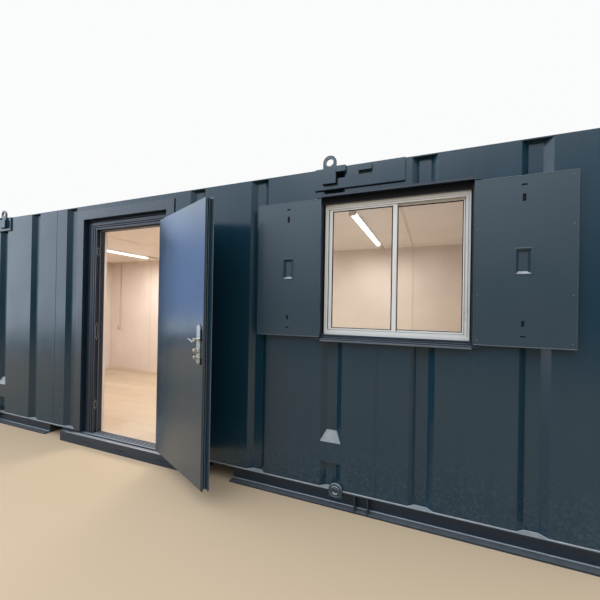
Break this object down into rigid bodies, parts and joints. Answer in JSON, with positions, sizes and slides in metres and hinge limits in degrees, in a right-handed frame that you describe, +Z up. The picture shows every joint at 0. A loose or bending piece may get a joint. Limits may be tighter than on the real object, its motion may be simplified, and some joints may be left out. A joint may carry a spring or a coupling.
{
  "type": "portable site cabin",
  "caption": "Steel site cabin with ribbed walls, a hinged steel door, a two-pane window behind hinged shutters, lifting lugs and fork pockets.",
  "frame": {"origin": "on the ground at the middle of the cabin's length and width, under the central floor joist", "axes": "+X along the length to the right of someone facing the front wall, +Y from the front wall to the rear wall, +Z up"},
  "size_m": [7.335, 3.2319, 2.5229],
  "materials": {
    "dark_paint": "satin anthracite paint on pressed steel",
    "base_paint": "dull dark primer on the base frame",
    "roof_paint": "satin anthracite paint",
    "wall_board": "smooth cream faced wall board",
    "floor_vinyl": "light oak pattern floor covering",
    "timber": "sawn timber",
    "window_white": "light grey powder coat on the window profiles",
    "glass": "clear float glass",
    "handle_steel": "satin stainless steel",
    "light_cover": "white opal cover",
    "skirting_board": "painted skirting",
    "white_plastic": "off-white conduit and box"
  },
  "bodies": {
    "cabin": {"base_rail_front": "dark_paint", "base_rail_rear": "dark_paint", "base_rails_end": "dark_paint", "door_sill_beam": "dark_paint", "fork_pocket_heads": "dark_paint", "fork_pocket_sides": "dark_paint", "floor_joists": "base_paint", "floor": "floor_vinyl", "front_wall_left": "dark_paint", "front_wall_over_door": "dark_paint", "front_wall_middle": "dark_paint", "front_wall_over_window": "dark_paint", "front_wall_under_window": "dark_paint", "front_wall_right": "dark_paint", "rear_wall": "dark_paint", "end_walls": "dark_paint", "rib_closures": "dark_paint", "corner_posts": "dark_paint", "front_lining_left": "wall_board", "front_lining_middle": "wall_board", "front_lining_window": "wall_board", "front_lining_right": "wall_board", "rear_lining": "wall_board", "end_linings": "wall_board", "roof_rim": "dark_paint", "roof": "roof_paint", "ceiling": "wall_board", "roof_purlins": "timber", "door_trim": "dark_paint", "door_frame": "dark_paint", "door_lining": "wall_board", "threshold": "dark_paint", "door_hinges": "dark_paint", "window_surround": "dark_paint", "window_frame": "window_white", "window_sashes": "window_white", "window_glass": "glass", "window_head_trim": "dark_paint", "window_ledge": "dark_paint", "lifting_lugs": "dark_paint", "lug_covers": "dark_paint", "lower_eyes": "dark_paint", "ceiling_lights": "light_cover", "skirting": "skirting_board", "socket_conduit": "white_plastic"},
    "door": {"door_leaf": "dark_paint", "handle_plates": "handle_steel"},
    "lever": {"door_lever": "handle_steel"},
    "left_shutter": {"shutter_left": "dark_paint"},
    "right_shutter": {"shutter_right": "dark_paint"}
  },
  "joints": [
    {"name": "door_hinge", "type": "hinge", "parent": "cabin", "child": "door", "pos_m": [0.436, -1.3635, 1.165], "axis": [0, 0, 1], "range_deg": [-155, 6]},
    {"name": "lever_turn", "type": "hinge", "parent": "door", "child": "lever", "pos_m": [1.19625, -1.75387, 1.192], "axis": [-0.4226, -0.9063, 0], "range_deg": [0, 35], "stiffness_Nm_per_rad": 1.5, "springref_deg": -22.92},
    {"name": "left_shutter_hinge", "type": "hinge", "parent": "cabin", "child": "left_shutter", "pos_m": [1.9445, -1.3965, 1.7145], "axis": [0, 0, 1], "range_deg": [0, 180]},
    {"name": "right_shutter_hinge", "type": "hinge", "parent": "cabin", "child": "right_shutter", "pos_m": [2.9475, -1.3965, 1.7145], "axis": [0, 0, -1], "range_deg": [0, 180]}
  ]
}
